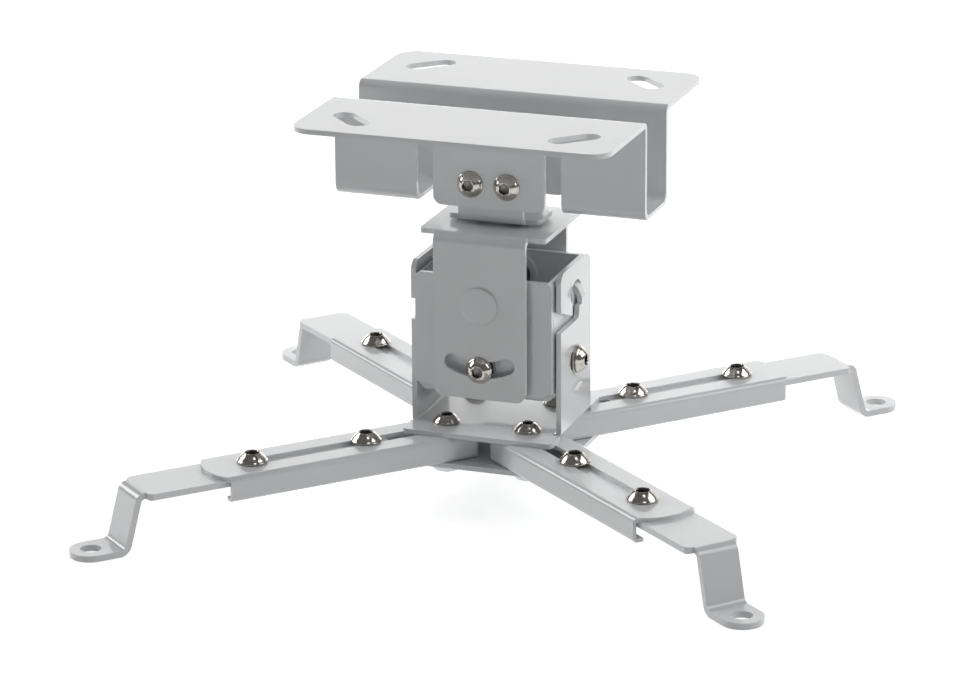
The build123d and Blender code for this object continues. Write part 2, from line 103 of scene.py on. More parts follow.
# Button heads in millimetres: height of the rounded rim, step in above it, radius of the flat round
# the socket, and how far the dome swells out from a straight cone
HEAD_SHAPES = {
    "plain": {"rim": 0.85, "step": 0.34, "flat": 2.55, "swell": 0.24},
    "large": {"rim": 1.0, "step": 0.4, "flat": 3.0, "swell": 0.2},
}

# How far round each screw stopped, in radians for each set and each screw of a set
SET_TURN = 0.4
SCREW_TURN = 0.25

# Threads: depth as a share of the pitch, rings in one turn, slope of the flanks, width of the root,
# and how much thinner the point is, as a share of the depth
THREAD_DEPTH = 0.61
THREAD_RINGS = 8
FLANK_SLOPE = 1.3
ROOT_WIDTH = 0.1
POINT_TAPER = 0.3

# Radius of the washer face on a nut or bolt head, as a share of its width across the flats
WASHER_FACE = 0.475

# Gap all round between a thread and the bore of its nut
NUT_CLEARANCE = 0.05 * MILLIMETRE

MOUNT_MIDDLE = (0.0, 0.0, -0.09)

# Softboxes: place, the point that each faces, width and height, and the setting that holds its power
SOFTBOXES = {
    "top_softbox": ((0.45, -0.4, 1.3), MOUNT_MIDDLE, (0.35, 0.35), "top_power"),
    "right_softbox": ((0.95, 0.25, 0.55), MOUNT_MIDDLE, (0.9, 0.7), "right_power"),
    "left_softbox": ((-1.35, 0.1, 0.6), MOUNT_MIDDLE, (0.9, 0.8), "left_power"),
    "backdrop_softbox": ((-0.4, 2.2, 0.6), (-0.2, 0.0, 0.3), (4.0, 1.5), "backdrop_power"),
    "low_backdrop_softbox": ((-0.7, 1.6, 0.05), (-0.1, 0.0, 0.0), (1.8, 0.4), "low_backdrop_power"),
}

WHITE = (1.0, 1.0, 1.0, 1.0)


class MountFinishSettings(PropertyGroup):
    """Colours and surface detail of the finishes."""

    paint_colour: FloatVectorProperty(
        name="Paint", description="Pale grey-white of the powder coat", subtype="COLOR", size=4,
        default=(0.78, 0.79, 0.8, 1.0), min=0.0, max=1.0)
    paint_roughness: FloatProperty(
        name="Paint Roughness", description="Roughness of the powder coat under its gloss",
        subtype="FACTOR", default=0.32, min=0.0, max=1.0)
    peel_size: FloatProperty(
        name="Orange Peel", description="Width of one dimple of the powder coat",
        subtype="DISTANCE", unit="LENGTH", default=0.0016, min=0.0002)
    peel_height: FloatProperty(
        name="Peel Height", description="Depth of the dimples of the powder coat",
        subtype="DISTANCE", unit="LENGTH", default=0.0000015, min=0.0)
    edge_round: FloatProperty(
        name="Edge Round", description="Radius that the paint gives to a punched edge",
        subtype="DISTANCE", unit="LENGTH", default=0.00028, min=0.0)
    nickel_colour: FloatVectorProperty(
        name="Nickel", description="Warm tint of the polished nickel plate", subtype="COLOR", size=4,
        default=(0.54, 0.517, 0.477, 1.0), min=0.0, max=1.0)
    zinc_colour: FloatVectorProperty(
        name="Zinc", description="Bluish tint of the zinc plate", subtype="COLOR", size=4,
        default=(0.55, 0.57, 0.59, 1.0), min=0.0, max=1.0)
    nylon_colour: FloatVectorProperty(
        name="White Nylon", description="Slip washers and spacers", subtype="COLOR", size=4,
        default=(0.72, 0.72, 0.69, 1.0), min=0.0, max=1.0)
    cap_colour: FloatVectorProperty(
        name="Black Nylon", description="Caps on the ends of the tilt rivets", subtype="COLOR", size=4,
        default=(0.012, 0.012, 0.013, 1.0), min=0.0, max=1.0)


class MountFastenerSettings(PropertyGroup):
    """Sizes of the screws, nuts, rivets and bolt that the frame's boxes don't give."""

    segments: IntProperty(
        name="Segments", description="Steps round a screw, a multiple of six", default=48, min=12)
    plain_head_height: FloatProperty(
        name="Plain Head Height", description="Height of an M6 button head",
        subtype="DISTANCE", unit="LENGTH", default=0.0033, min=0.001)
    plain_socket: FloatProperty(
        name="Plain Socket", description="Hexagon socket of the plain head, across the flats",
        subtype="DISTANCE", unit="LENGTH", default=0.004, min=0.001)
    large_head_height: FloatProperty(
        name="Large Head Height", description="Height of the larger head on the arms",
        subtype="DISTANCE", unit="LENGTH", default=0.0038, min=0.001)
    large_socket: FloatProperty(
        name="Large Socket", description="Hexagon socket of the larger head, across the flats",
        subtype="DISTANCE", unit="LENGTH", default=0.005, min=0.001)
    socket_depth: FloatProperty(
        name="Socket Depth", description="Depth of the hexagon sockets",
        subtype="DISTANCE", unit="LENGTH", default=0.0021, min=0.0005)
    thread_radius: FloatProperty(
        name="Thread Radius", description="Outer radius of the M6 thread",
        subtype="DISTANCE", unit="LENGTH", default=0.003, min=0.001)
    thread_pitch: FloatProperty(
        name="Thread Pitch", description="Rise of the M6 thread in one turn",
        subtype="DISTANCE", unit="LENGTH", default=0.001, min=0.0003)
    swivel_thread_radius: FloatProperty(
        name="Swivel Thread Radius", description="Outer radius of the swivel bolt's thread",
        subtype="DISTANCE", unit="LENGTH", default=0.004, min=0.001)
    swivel_thread_pitch: FloatProperty(
        name="Swivel Thread Pitch", description="Rise of the swivel bolt's thread in one turn",
        subtype="DISTANCE", unit="LENGTH", default=0.00125, min=0.0003)
    swivel_head_height: FloatProperty(
        name="Swivel Head Height", description="Height of the swivel bolt's hexagon head",
        subtype="DISTANCE", unit="LENGTH", default=0.0053, min=0.001)
    rivet_shank_radius: FloatProperty(
        name="Rivet Shank Radius", description="Radius of the shank of the tilt rivets",
        subtype="DISTANCE", unit="LENGTH", default=0.004, min=0.001)
    rivet_head_height: FloatProperty(
        name="Rivet Head Height", description="Height of the flat heads of the tilt rivets",
        subtype="DISTANCE", unit="LENGTH", default=0.0009, min=0.0005)
    rivet_edge_round: FloatProperty(
        name="Rivet Edge Round", description="Radius on the rim of the rivet heads",
        subtype="DISTANCE", unit="LENGTH", default=0.0005, min=0.0001)
    nut_chamfer: FloatProperty(
        name="Nut Chamfer", description="Slope of the chamfer on a nut's corners",
        subtype="ANGLE", unit="ROTATION", default=math.radians(30), min=0.0)


class MountStageSettings(PropertyGroup):
    """Camera, floor and lamps."""

    azimuth: FloatProperty(
        name="Azimuth", description="Camera's turn from straight in front towards the right",
        subtype="ANGLE", unit="ROTATION", default=math.radians(19.77))
    elevation: FloatProperty(
        name="Elevation", description="Camera's rise above the level", subtype="ANGLE", unit="ROTATION",
        default=math.radians(18.13))
    roll: FloatProperty(
        name="Roll", description="Camera's turn about its own line of sight", subtype="ANGLE",
        unit="ROTATION", default=math.radians(-0.39))
    distance: FloatProperty(
        name="Distance", description="From the camera to its target", subtype="DISTANCE", unit="LENGTH",
        default=1.6494, min=0.1)
    target: FloatVectorProperty(
        name="Target", description="Point in the middle of the picture", subtype="XYZ", unit="LENGTH",
        default=(-0.001087, -0.021663, -0.089557))
    lens: FloatProperty(
        name="Lens", description="Focal length in millimetres on the sensor's width", default=161.26,
        min=1.0)
    sensor_width: FloatProperty(
        name="Sensor Width", description="Width of the camera's sensor in millimetres", default=36.0,
        min=1.0)
    floor_colour: FloatVectorProperty(
        name="Floor", description="Pale studio floor", subtype="COLOR", size=4,
        default=(0.85, 0.85, 0.85, 1.0), min=0.0, max=1.0)
    floor_glow: FloatProperty(
        name="Floor Glow", description="What the camera sees of the floor beyond its own light",
        default=0.66, min=0.0)
    floor_size: FloatProperty(
        name="Floor Size", description="Side of the square floor", subtype="DISTANCE", unit="LENGTH",
        default=30.0, min=1.0)
    top_power: FloatProperty(
        name="Top Lamp", description="Power of the lamp overhead in watts", default=1.0, min=0.0)
    right_power: FloatProperty(
        name="Right Lamp", description="Power of the lamp at the right in watts", default=5.6, min=0.0)
    left_power: FloatProperty(
        name="Left Lamp", description="Power of the lamp at the left in watts", default=9.0, min=0.0)
    backdrop_power: FloatProperty(
        name="Backdrop Lamp", description="Power of the white wall of light behind the mount in watts",
        default=19.0, min=0.0)
    low_backdrop_power: FloatProperty(
        name="Low Backdrop Lamp", default=7.0, min=0.0,
        description="Power of the strip of light low behind the mount in watts")
    back_light: FloatProperty(
        name="Backdrop Light", description="Strength of the pale room behind the mount", default=0.1,
        min=0.0)
    front_light: FloatProperty(
        name="Room Light", description="Strength of the room in front of the mount", default=0.185,
        min=0.0)


# Node trees

def add_node(tree, kind, **inputs):
    """A node with its unlinked sockets set, by socket name with underscores for spaces."""
    node = tree.nodes.new(kind)
    for name, value in inputs.items():
        node.inputs[name.replace("_", " ")].default_value = value
    return node


def add_maths(tree, operation):
    """A node that works out one operation on its inputs."""
    node = tree.nodes.new("ShaderNodeMath")
    node.operation = operation
    return node


def surface_grain(tree, width, detail):
    """Noise in the piece's own space, with features of about this width in metres."""
    place = add_node(tree, "ShaderNodeTexCoord")
    grain = add_node(tree, "ShaderNodeTexNoise", Scale=1.0 / width, Detail=detail)
    tree.links.new(place.outputs["Object"], grain.inputs["Vector"])
    return grain.outputs["Fac"]


def spread(tree, source, low, high):
    """A grain turned into a number between two values."""
    node = add_node(tree, "ShaderNodeMapRange", From_Min=0.3, From_Max=0.7, To_Min=low, To_Max=high)
    tree.links.new(source, node.inputs["Value"])
    return node.outputs["Result"]


def darker(colour, share):
    """This share of a colour, opaque."""
    return (colour[0] * share, colour[1] * share, colour[2] * share, 1.0)


def tint(tree, source, colour, darkest):
    """A grain turned into shades of a colour, from this share of it up to the full colour."""
    ramp = tree.nodes.new("ShaderNodeValToRGB")
    low, high = ramp.color_ramp.elements
    low.position = 0.35
    high.position = 0.65
    low.color = darker(colour, darkest)
    high.color = tuple(colour)
    tree.links.new(source, ramp.inputs["Fac"])
    return ramp.outputs["Color"]


def bumped(tree, source, height, normal=None):
    """A normal raised by a grain, on top of another normal if one is given."""
    bump = add_node(tree, "ShaderNodeBump", Strength=1.0, Distance=height)
    tree.links.new(source, bump.inputs["Height"])
    if normal is not None:
        tree.links.new(normal, bump.inputs["Normal"])
    return bump.outputs["Normal"]


def finish_material(name, **sockets):
    """A material with one Principled shader, its plain values set on the shader's own sockets."""
    material = bpy.data.materials.new(name)
    material.use_nodes = True
    tree = material.node_tree
    shader = tree.nodes["Principled BSDF"]
    for socket, value in sockets.items():
        shader.inputs[socket.replace("_", " ")].default_value = value
    return material, tree, shader


def powder_coat(settings):
    """Glossy powder coat: fine orange peel, a slow waviness and a slight change of shade."""
    material, tree, shader = finish_material(
        "white_powder_coat", Coat_Weight=1.0, Coat_Roughness=0.05, Coat_IOR=1.5, IOR=1.4)
    cloud = surface_grain(tree, width=0.03, detail=2.0)
    wave = surface_grain(tree, width=0.012, detail=1.0)
    peel = surface_grain(tree, width=settings.peel_size, detail=0.0)
    roughness_change = 0.04
    low = settings.paint_roughness - roughness_change
    high = settings.paint_roughness + roughness_change
    wave_height = settings.peel_height * 3
    normal = bumped(tree, wave, wave_height)
    normal = bumped(tree, peel, settings.peel_height, normal)
    tree.links.new(tint(tree, cloud, settings.paint_colour, darkest=0.985), shader.inputs["Base Color"])
    tree.links.new(spread(tree, cloud, low, high), shader.inputs["Roughness"])
    tree.links.new(normal, shader.inputs["Normal"])
    tree.links.new(normal, shader.inputs["Coat Normal"])
    return material


def polished_nickel(settings):
    """Polished plate with faint polishing haze and tiny dents."""
    material, tree, shader = finish_material("polished_nickel", Metallic=1.0)
    haze = surface_grain(tree, width=0.0012, detail=3.0)
    dents = surface_grain(tree, width=0.0011, detail=2.0)
    tree.links.new(tint(tree, haze, settings.nickel_colour, darkest=0.8), shader.inputs["Base Color"])
    tree.links.new(spread(tree, haze, low=0.06, high=0.18), shader.inputs["Roughness"])
    tree.links.new(bumped(tree, dents, height=0.000022), shader.inputs["Normal"])
    return material


def dull_socket(settings):
    """The rougher plate inside a screw's socket, its colour darkened to half the nickel's as painted
    shade for the recess.
    """
    material, tree, shader = finish_material("dull_socket", Metallic=1.0)
    colour = darker(settings.nickel_colour, 0.5)
    stain = surface_grain(tree, width=0.0008, detail=2.0)
    tree.links.new(tint(tree, stain, colour, darkest=0.6), shader.inputs["Base Color"])
    tree.links.new(spread(tree, stain, low=0.3, high=0.5), shader.inputs["Roughness"])
    tree.links.new(bumped(tree, stain, height=0.00001), shader.inputs["Normal"])
    return material


def zinc_plate(settings):
    """Bright zinc plate, mottled and a little duller than the nickel."""
    material, tree, shader = finish_material("zinc_plate", Metallic=1.0)
    mottle = surface_grain(tree, width=0.0015, detail=4.0)
    scratch = surface_grain(tree, width=0.0004, detail=2.0)
    tree.links.new(tint(tree, mottle, settings.zinc_colour, darkest=0.82), shader.inputs["Base Color"])
    tree.links.new(spread(tree, mottle, low=0.22, high=0.4), shader.inputs["Roughness"])
    tree.links.new(bumped(tree, scratch, height=0.000008), shader.inputs["Normal"])
    return material


def moulded_nylon(name, colour, roughness):
    """Moulded nylon with a fine spark-eroded grain."""
    material, tree, shader = finish_material(name, IOR=1.53)
    grain = surface_grain(tree, width=0.0003, detail=2.0)
    cloud = surface_grain(tree, width=0.004, detail=2.0)
    roughness_change = 0.06
    low = roughness - roughness_change
    high = roughness + roughness_change
    tree.links.new(tint(tree, cloud, colour, darkest=0.9), shader.inputs["Base Color"])
    tree.links.new(spread(tree, grain, low, high), shader.inputs["Roughness"])
    tree.links.new(bumped(tree, grain, height=0.000012), shader.inputs["Normal"])
    return material


# Where the frame's solids stand

def islands(node):
    """The separate solids of a CAD node, each as the sorted list of its corners."""
    bm = bmesh.new()
    bm.from_mesh(frame["nodes"][node].data)
    bmesh.ops.remove_doubles(bm, verts=bm.verts, dist=0.001 * MILLIMETRE)
    left = set(bm.verts)
    found = []
    while left:
        reached = {left.pop()}
        edge_of_search = list(reached)
        while edge_of_search:
            vertex = edge_of_search.pop()
            for edge in vertex.link_edges:
                other = edge.other_vert(vertex)
                if other not in reached:
                    reached.add(other)
                    edge_of_search.append(other)
        left -= reached
        found.append(sorted((vertex.co.copy() for vertex in reached), key=tuple))
    bm.free()
    return sorted(found, key=lambda points: tuple(points_box(points)[0]))


def points_box(points):
    """The low and the high corner of the box round some points."""
    low = Vector([min(point[axis] for point in points) for axis in range(3)])
    high = Vector([max(point[axis] for point in points) for axis in range(3)])
    return low, high


def facing(axis, centre):
    """Turns +Z to the way that a head faces: up, or away from the middle of the mount."""
    if axis == "z":
        return Matrix.Identity(4)
    sign = 1 if centre["xyz".index(axis)] > 0 else -1
    if axis == "x":
        return Matrix.Rotation(sign * math.pi / 2, 4, "Y")
    return Matrix.Rotation(-sign * math.pi / 2, 4, "X")


def placed_solid(points, axis):
    """Where a turned solid stands: its frame with +Z out of its far end, its length and its width."""
    low, high = points_box(points)
    centre = (low + high) / 2
    turn = facing(axis, centre)
    outward = turn.to_3x3() @ Vector((0, 0, 1))
    along = "xyz".index(axis)
    length = high[along] - low[along]
    far_end = centre + outward * length / 2
    across = [high[k] - low[k] for k in range(3) if k != along]
    place = Matrix.Translation(far_end) @ turn
    return place, length, max(across)


def outer_corner(points, place):
    """The radius and the angle, about a solid's own axis, of its corner that stands furthest out."""
    local = [place.inverted() @ point for point in points]
    corner = max(local, key=lambda point: math.hypot(point.x, point.y))
    return math.hypot(corner.x, corner.y), math.atan2(corner.y, corner.x)


# Rings: each gives a radius and a height at an angle about +Z

def level(radius, height):
    """A round ring at one height."""
    return lambda angle: (radius, height)


def hexagon(across_flats, angle):
    """The radius of a hexagon at an angle, with corners at 0, 60 and so on."""
    step = math.pi / 3
    return across_flats / 2 / math.cos(angle % step - step / 2)


def six_sided(across_flats, height):
    """A hexagonal ring at one height."""
    return lambda angle: (hexagon(across_flats, angle), height)


def chamfered(across_flats, height, slope):
    """A hexagonal ring whose corners leave the height of the washer face at a slope."""
    def ring(angle):
        radius = hexagon(across_flats, angle)
        return radius, height + slope * (radius - WASHER_FACE * across_flats)
    return ring


def thread_ring(core, depth, pitch, height, fullness):
    """One ring of a right-hand thread, from a thin plain point at 0 to the full thread at 1."""
    def ring(angle):
        phase = (height / pitch - angle / (2 * math.pi)) % 1.0
        crest = FLANK_SLOPE * (1 - abs(2 * phase - 1)) - ROOT_WIDTH
        crest = min(1.0, max(0.0, crest))
        return core - depth * POINT_TAPER * (1 - fullness) + depth * crest * fullness, height
    return ring


def thread_rings(radius, pitch, start, end):
    """Rings of a thread from its lower end, where it grows over one turn, up to its upper end."""
    depth = THREAD_DEPTH * pitch
    count = round((end - start) / pitch * THREAD_RINGS)
    rings = []
    for k in range(count + 1):
        height = start + (end - start) * k / count
        fullness = min(1.0, max(0.0, (height - start) / pitch))
        rings.append(thread_ring(radius - depth, depth, pitch, height, fullness))
    return rings


def turned_over(ring):
    """A ring turned end over end, which keeps a right-hand thread right-handed."""
    def turned(angle):
        radius, height = ring(-angle)
        return radius, -height
    return turned


def rounded_rings(centre, size, start, end, steps):
    """Round rings along a circle about a (radius, height), between two angles from the level."""
    rings = []
    for k in range(steps + 1):
        angle = math.radians(start + (end - start) * k / steps)
        rings.append(level(centre[0] + size * math.cos(angle), centre[1] + size * math.sin(angle)))
    return rings


def dome_rings(start, end, swell, steps):
    """Round rings from one (radius, height) to another, swelling outwards at the middle."""
    rings = []
    run, rise = end[0] - start[0], end[1] - start[1]
    chord = math.hypot(run, rise)
    outward = (rise / chord, -run / chord)
    for k in range(steps + 1):
        share = k / steps
        lift = swell * (1 - (2 * share - 1) ** 2)
        radius = start[0] + run * share + outward[0] * lift
        height = start[1] + rise * share + outward[1] * lift
        rings.append(level(radius, height))
    return rings


def stack_rings(bm, rings, place, segments, closed=False, painted_shade_from=None):
    """Rings joined into a skin. Faces from a given ring onwards take the second material, the painted
    shade of a screw's socket.
    """
    rows = []
    for ring in rings:
        row = []
        for k in range(segments):
            angle = 2 * math.pi * k / segments
            radius, height = ring(angle)
            point = (radius * math.cos(angle), radius * math.sin(angle), height)
            row.append(bm.verts.new(place @ Vector(point)))
        rows.append(row)
    pairs = list(zip(rows, rows[1:]))
    if closed:
        pairs.append((rows[-1], rows[0]))
    for step, (lower, upper) in enumerate(pairs):
        # Faces past the socket's mouth take the material that paints shade into the socket
        in_painted_shade = painted_shade_from is not None and step >= painted_shade_from
        for k in range(segments):
            after = (k + 1) % segments
            face = bm.faces.new((lower[k], lower[after], upper[after], upper[k]))
            face.material_index = 1 if in_painted_shade else 0
    if not closed:
        bm.faces.new(list(reversed(rows[0])))
        last = bm.faces.new(rows[-1])
        last.material_index = 1 if painted_shade_from is not None else 0


# Fasteners

def button_screw(bm, place, length, width, style, settings):
    """A button-head screw below its place: threaded shank, domed head and hexagon socket."""
    head = getattr(settings, f"{style}_head_height")
    socket = getattr(settings, f"{style}_socket")
    shape = {name: size * MILLIMETRE for name, size in HEAD_SHAPES[style].items()}
    radius = width / 2
    seat = -head
    neck = 0.6 * MILLIMETRE
    rim_round = shape["rim"] / 2
    dome_foot = (radius - shape["step"], seat + shape["rim"] + 0.02 * MILLIMETRE)
    dome_top = (shape["flat"], 0.0)
    socket_corner = socket / math.sqrt(3)
    lip = min(shape["flat"] - 0.05 * MILLIMETRE, socket_corner + 0.2 * MILLIMETRE)
    lip_width = 0.1 * MILLIMETRE
    lip_drop = 0.03 * MILLIMETRE
    countersink = 0.3 * MILLIMETRE
    bottom = -settings.socket_depth
    drill_rim = 0.15 * MILLIMETRE
    drill_point = 0.6 * MILLIMETRE

    rings = thread_rings(settings.thread_radius, settings.thread_pitch, -length, seat - neck)
    rings.append(level(settings.thread_radius, seat))
    rings += rounded_rings((radius - rim_round, seat + rim_round), rim_round, start=-90, end=50, steps=7)
    rings += dome_rings(dome_foot, dome_top, shape["swell"], steps=8)
    rings.append(level(lip, 0.0))
    rings.append(level(lip - lip_width, -lip_drop))
    socket_mouth = len(rings)
    rings.append(six_sided(socket, -countersink))
    rings.append(six_sided(socket, bottom))
    rings.append(level(0.4 * socket, bottom - drill_rim))
    rings.append(level(0.05 * socket, bottom - drill_point))
    # The socket's faces take the second material, which paints the shade in the recess
    stack_rings(bm, rings, place, settings.segments, painted_shade_from=socket_mouth)


def flat_rivet(bm, place, length, width, settings):
    """A rivet below its place: plain shank, and a flat head whose rim stands a hair off the sheet."""
    radius = width / 2
    shank = settings.rivet_shank_radius
    seat = -settings.rivet_head_height
    edge = settings.rivet_edge_round
    crown = 0.02 * MILLIMETRE
    shank_chamfer = 0.4 * MILLIMETRE
    rings = [
        level(0.2 * shank, -length),
        level(shank - shank_chamfer, -length),
        level(shank, shank_chamfer - length),
        level(shank, seat),
    ]
    # The underside of the rim, as steps in from it and up from the sheet in millimetres
    for inwards, upwards in ((0.45, 0.0), (0.4, 0.14), (0.1, 0.18), (0.0, 0.28)):
        rings.append(level(radius - inwards * MILLIMETRE, seat + upwards * MILLIMETRE))
    rings += rounded_rings((radius - edge, -edge - crown), edge, start=0, end=90, steps=4)
    rings.append(level(0.7 * radius, 0.0))
    rings.append(level(0.1 * radius, 0.0))
    stack_rings(bm, rings, place, 2 * settings.segments)


def hexagon_nut(bm, place, height, across_flats, bore, settings):
    """A nut below its place, its corners chamfered on both faces and its bore countersunk."""
    slope = math.tan(settings.nut_chamfer)
    washer_face = WASHER_FACE * across_flats
    countersink = 0.35 * MILLIMETRE
    rings = [
        level(bore, -height + countersink),
        level(bore + countersink, -height),
        level(washer_face, -height),
        chamfered(across_flats, -height, slope),
        chamfered(across_flats, 0.0, -slope),
        level(washer_face, 0.0),
        level(bore + countersink, 0.0),
        level(bore, -countersink),
    ]
    stack_rings(bm, rings, place, settings.segments, closed=True)


def hexagon_bolt(bm, place, low, high, across_flats, settings):
    """A bolt with its head at the low end. Its thread is cut from the high end, so it is turned over."""
    seat = low + settings.swivel_head_height
    neck = seat + 2 * MILLIMETRE
    radius = settings.swivel_thread_radius
    upside_down = thread_rings(radius, settings.swivel_thread_pitch, -high, -neck)
    rings = [
        level(0.1 * MILLIMETRE, low),
        level(WASHER_FACE * across_flats, low),
        chamfered(across_flats, low, math.tan(settings.nut_chamfer)),
        six_sided(across_flats, seat),
        level(radius, seat),
    ]
    rings += [turned_over(ring) for ring in reversed(upside_down)]
    stack_rings(bm, rings, place, settings.segments)


# Pieces in the scene

def finished_piece(name, bm, materials, node, sharp_angle):
    """The object of a modelled piece, which stands for a CAD node and rides where it rides."""
    bmesh.ops.recalc_face_normals(bm, faces=bm.faces)
    mesh = bpy.data.meshes.new(name)
    bm.to_mesh(mesh)
    bm.free()
    mesh.shade_smooth()
    mesh.set_sharp_from_angle(angle=sharp_angle)
    for material in materials:
        mesh.materials.append(material)
    piece = bpy.data.objects.new(name, mesh)
    bpy.context.scene.collection.objects.link(piece)
    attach(piece, BODY_OF[node])
    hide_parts(node)
    return piece


def dress(node, material):
    """Gives a CAD node its finish through its material slots."""
    piece = frame["nodes"][node]
    if not piece.material_slots:
        raise RuntimeError(f"{node} has no material slot")
    for entry in piece.material_slots:
        entry.material = material
    return piece


def soften_edges(piece, width):
    """Rounds the punched and sheared edges as the coat of paint does."""
    weld = piece.modifiers.new("join_faces", "WELD")
    weld.merge_threshold = 0.002 * MILLIMETRE
    bevel = piece.modifiers.new("paint_round", "BEVEL")
    bevel.width = width
    bevel.segments = 2
    bevel.limit_method = "ANGLE"
    bevel.angle_limit = math.radians(40)
    bevel.use_clamp_overlap = True
    normals = piece.modifiers.new("even_normals", "WEIGHTED_NORMAL")
    normals.keep_sharp = False


class MOUNT_OT_painted_sheets(Operator):
    """Coat the folded sheets and the rivet washers, and round their edges"""

    bl_idname = "mount.painted_sheets"
    bl_label = "Painted Sheets"

    def execute(self, context):
        settings = context.scene.mount_finish
        paint = powder_coat(settings)
        for node in PAINTED:
            soften_edges(dress(node, paint), settings.edge_round)
        return {"FINISHED"}


class MOUNT_OT_small_parts(Operator):
    """Finish the washers, sleeves, spacers and caps between the sheets"""

    bl_idname = "mount.small_parts"
    bl_label = "Small Parts"

    def execute(self, context):
        settings = context.scene.mount_finish
        zinc = zinc_plate(settings)
        white = moulded_nylon("white_nylon", settings.nylon_colour, roughness=0.5)
        black = moulded_nylon("black_nylon", settings.cap_colour, roughness=0.38)
        nickel = polished_nickel(settings)
        dress("swivel_plain_washer", zinc)
        dress("swivel_slip_washer", white)
        for side in SIDES:
            dress(f"side_lock_plain_washer_{side}", nickel)
            dress(f"side_lock_washer_{side}", white)
        for end in ENDS:
            dress(f"tilt_lock_sleeve_{end}", zinc)
            dress(f"tilt_spacer_{end}", white)
            dress(f"rivet_cap_{end}", black)
        return {"FINISHED"}


class MOUNT_OT_button_screws(Operator):
    """Model the button-head screws with their threads and sockets"""

    bl_idname = "mount.button_screws"
    bl_label = "Button-Head Screws"

    def execute(self, context):
        settings = context.scene.mount_fasteners
        # The second finish paints shade into the sockets, darker than the nickel
        finishes = [bpy.data.materials["polished_nickel"], dull_socket(context.scene.mount_finish)]
        for order, (node, (axis, style)) in enumerate(SCREW_SETS.items()):
            bm = bmesh.new()
            for index, points in enumerate(islands(node)):
                place, length, width = placed_solid(points, axis)
                turn = Matrix.Rotation(SET_TURN * order + SCREW_TURN * index, 4, "Z")
                button_screw(bm, place @ turn, length, width, style, settings)
            piece = finished_piece(f"threaded_{node}", bm, finishes, node, math.radians(30))
        return {"FINISHED"}


class MOUNT_OT_tilt_rivets(Operator):
    """Model the flat-headed rivets on the tilt axis"""

    bl_idname = "mount.tilt_rivets"
    bl_label = "Tilt Rivets"

    def execute(self, context):
        settings = context.scene.mount_fasteners
        paint = bpy.data.materials["white_powder_coat"]
        for end in ENDS:
            node = f"tilt_rivet_{end}"
            bm = bmesh.new()
            for points in islands(node):
                place, length, width = placed_solid(points, "y")
                flat_rivet(bm, place, length, width, settings)
            piece = finished_piece(f"pressed_{node}", bm, [paint], node, math.radians(50))
        return {"FINISHED"}


class MOUNT_OT_hexagon_nuts(Operator):
    """Model the hexagon nuts with chamfered corners"""

    bl_idname = "mount.hexagon_nuts"
    bl_label = "Hexagon Nuts"

    def execute(self, context):
        settings = context.scene.mount_fasteners
        zinc = bpy.data.materials["zinc_plate"]
        for node, axis in NUT_SETS.items():
            thread = settings.swivel_thread_radius if node == "swivel_nut" else settings.thread_radius
            bore = thread + NUT_CLEARANCE
            bm = bmesh.new()
            for points in islands(node):
                place, height, _ = placed_solid(points, axis)
                corner, angle = outer_corner(points, place)
                turn = Matrix.Rotation(angle, 4, "Z")
                hexagon_nut(bm, place @ turn, height, corner * math.sqrt(3), bore, settings)
            piece = finished_piece(f"chamfered_{node}", bm, [zinc], node, math.radians(25))
        return {"FINISHED"}


class MOUNT_OT_swivel_bolt(Operator):
    """Model the hexagon bolt on the swivel axis"""

    bl_idname = "mount.swivel_bolt"
    bl_label = "Swivel Bolt"

    def execute(self, context):
        low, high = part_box("swivel_bolt")
        middle = (low + high) / 2
        place = Matrix.Translation((middle.x, middle.y, 0))
        across_flats = min(high.x - low.x, high.y - low.y)
        bm = bmesh.new()
        hexagon_bolt(bm, place, low.z, high.z, across_flats, context.scene.mount_fasteners)
        zinc = bpy.data.materials["zinc_plate"]
        piece = finished_piece("threaded_swivel_bolt", bm, [zinc], "swivel_bolt", math.radians(25))
        return {"FINISHED"}


# The stage

def seen_directly(tree):
    """One for rays from the camera, from a mirror or through glass, and zero for the light itself."""
    path = add_node(tree, "ShaderNodeLightPath")
    total = path.outputs["Is Camera Ray"]
    for ray in ("Is Glossy Ray", "Is Transmission Ray"):
        either = add_maths(tree, "MAXIMUM")
        tree.links.new(total, either.inputs[0])
        tree.links.new(path.outputs[ray], either.inputs[1])
        total = either.outputs[0]
    return total


def lay_floor(settings):
    """A square floor at the lowest point of the mount, which shows white and keeps its shadows."""
    half = settings.floor_size / 2
    height = cad_low[2]
    bm = bmesh.new()
    corners = [(-half, -half), (half, -half), (half, half), (-half, half)]
    bm.faces.new([bm.verts.new((x, y, height)) for x, y in corners])
    mesh = bpy.data.meshes.new("studio_floor")
    bm.to_mesh(mesh)
    bm.free()
    floor = bpy.data.objects.new("studio_floor", mesh)
    bpy.context.scene.collection.objects.link(floor)
    material, tree, shader = finish_material(
        "studio_floor", Base_Color=tuple(settings.floor_colour), Roughness=0.9, Emission_Color=WHITE)
    strength = add_maths(tree, "MULTIPLY")
    strength.inputs[1].default_value = settings.floor_glow
    tree.links.new(seen_directly(tree), strength.inputs[0])
    tree.links.new(strength.outputs[0], shader.inputs["Emission Strength"])
    mesh.materials.append(material)


